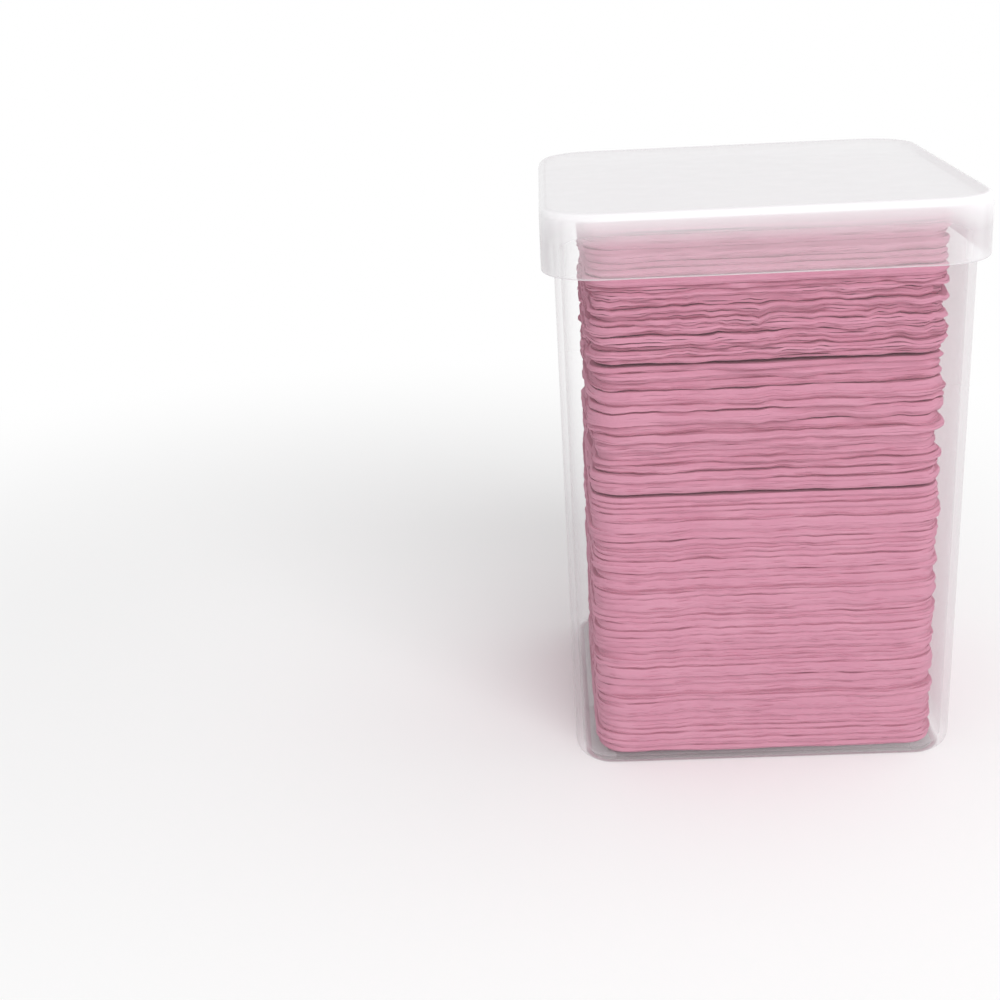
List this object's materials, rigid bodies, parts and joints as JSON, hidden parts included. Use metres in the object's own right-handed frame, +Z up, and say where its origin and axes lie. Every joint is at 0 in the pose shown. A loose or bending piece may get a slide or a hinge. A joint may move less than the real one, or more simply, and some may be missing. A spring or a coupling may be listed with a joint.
{
  "type": "nail pad box",
  "caption": "Square translucent box with rounded corners, a lift-off lid and a full stack of soft pink nonwoven pads.",
  "frame": {"origin": "middle of the base, on the surface that the tub stands on", "axes": "+Z up through the lid, -Y towards the side that the picture shows"},
  "size_m": [0.061, 0.061, 0.0831],
  "materials": {
    "tub_plastic": "smooth moulded translucent polypropylene",
    "lid_plastic": "moulded translucent polypropylene, hazier than the tub",
    "pad_fleece": "soft lint-free nonwoven with embossed dots"
  },
  "bodies": {
    "tub": {"tub": "tub_plastic"},
    "lower_pads": {"pad_sheaf_01": "pad_fleece", "pad_sheaf_02": "pad_fleece", "pad_sheaf_03": "pad_fleece", "pad_sheaf_04": "pad_fleece", "pad_sheaf_05": "pad_fleece", "pad_sheaf_06": "pad_fleece", "pad_sheaf_07": "pad_fleece", "pad_sheaf_08": "pad_fleece", "pad_sheaf_09": "pad_fleece", "pad_sheaf_10": "pad_fleece", "pad_sheaf_11": "pad_fleece", "pad_sheaf_12": "pad_fleece", "pad_sheaf_13": "pad_fleece", "pad_sheaf_14": "pad_fleece", "pad_sheaf_15": "pad_fleece", "pad_sheaf_16": "pad_fleece", "pad_sheaf_17": "pad_fleece", "pad_sheaf_18": "pad_fleece", "pad_sheaf_19": "pad_fleece", "pad_sheaf_20": "pad_fleece", "pad_sheaf_21": "pad_fleece", "pad_sheaf_22": "pad_fleece", "pad_sheaf_23": "pad_fleece", "pad_sheaf_24": "pad_fleece", "pad_sheaf_25": "pad_fleece", "pad_sheaf_26": "pad_fleece"},
    "upper_pads": {"pad_sheaf_27": "pad_fleece", "pad_sheaf_28": "pad_fleece", "pad_sheaf_29": "pad_fleece", "pad_sheaf_30": "pad_fleece", "pad_sheaf_31": "pad_fleece", "pad_sheaf_32": "pad_fleece", "pad_sheaf_33": "pad_fleece", "pad_sheaf_34": "pad_fleece", "pad_sheaf_35": "pad_fleece", "pad_sheaf_36": "pad_fleece", "pad_sheaf_37": "pad_fleece", "pad_sheaf_38": "pad_fleece", "pad_sheaf_39": "pad_fleece", "pad_sheaf_40": "pad_fleece", "pad_sheaf_41": "pad_fleece", "pad_sheaf_42": "pad_fleece", "pad_sheaf_43": "pad_fleece", "pad_sheaf_44": "pad_fleece", "pad_sheaf_45": "pad_fleece", "pad_sheaf_46": "pad_fleece", "pad_sheaf_47": "pad_fleece", "pad_sheaf_48": "pad_fleece", "pad_sheaf_49": "pad_fleece"},
    "top_pads": {"pad_sheaf_50": "pad_fleece"},
    "lid": {"lid": "lid_plastic"}
  },
  "joints": [
    {"name": "lower_pads_lift", "type": "slide", "parent": "tub", "child": "lower_pads", "axis": [0, 0, 1], "range_m": [0, 0.088]},
    {"name": "upper_pads_lift", "type": "slide", "parent": "lower_pads", "child": "upper_pads", "axis": [0, 0, 1], "range_m": [0, 0.05]},
    {"name": "top_pads_lift", "type": "slide", "parent": "upper_pads", "child": "top_pads", "axis": [0, 0, 1], "range_m": [0, 0.03]},
    {"name": "lid_lift", "type": "slide", "parent": "top_pads", "child": "lid", "axis": [0, 0, 1], "range_m": [0, 0.05]}
  ]
}
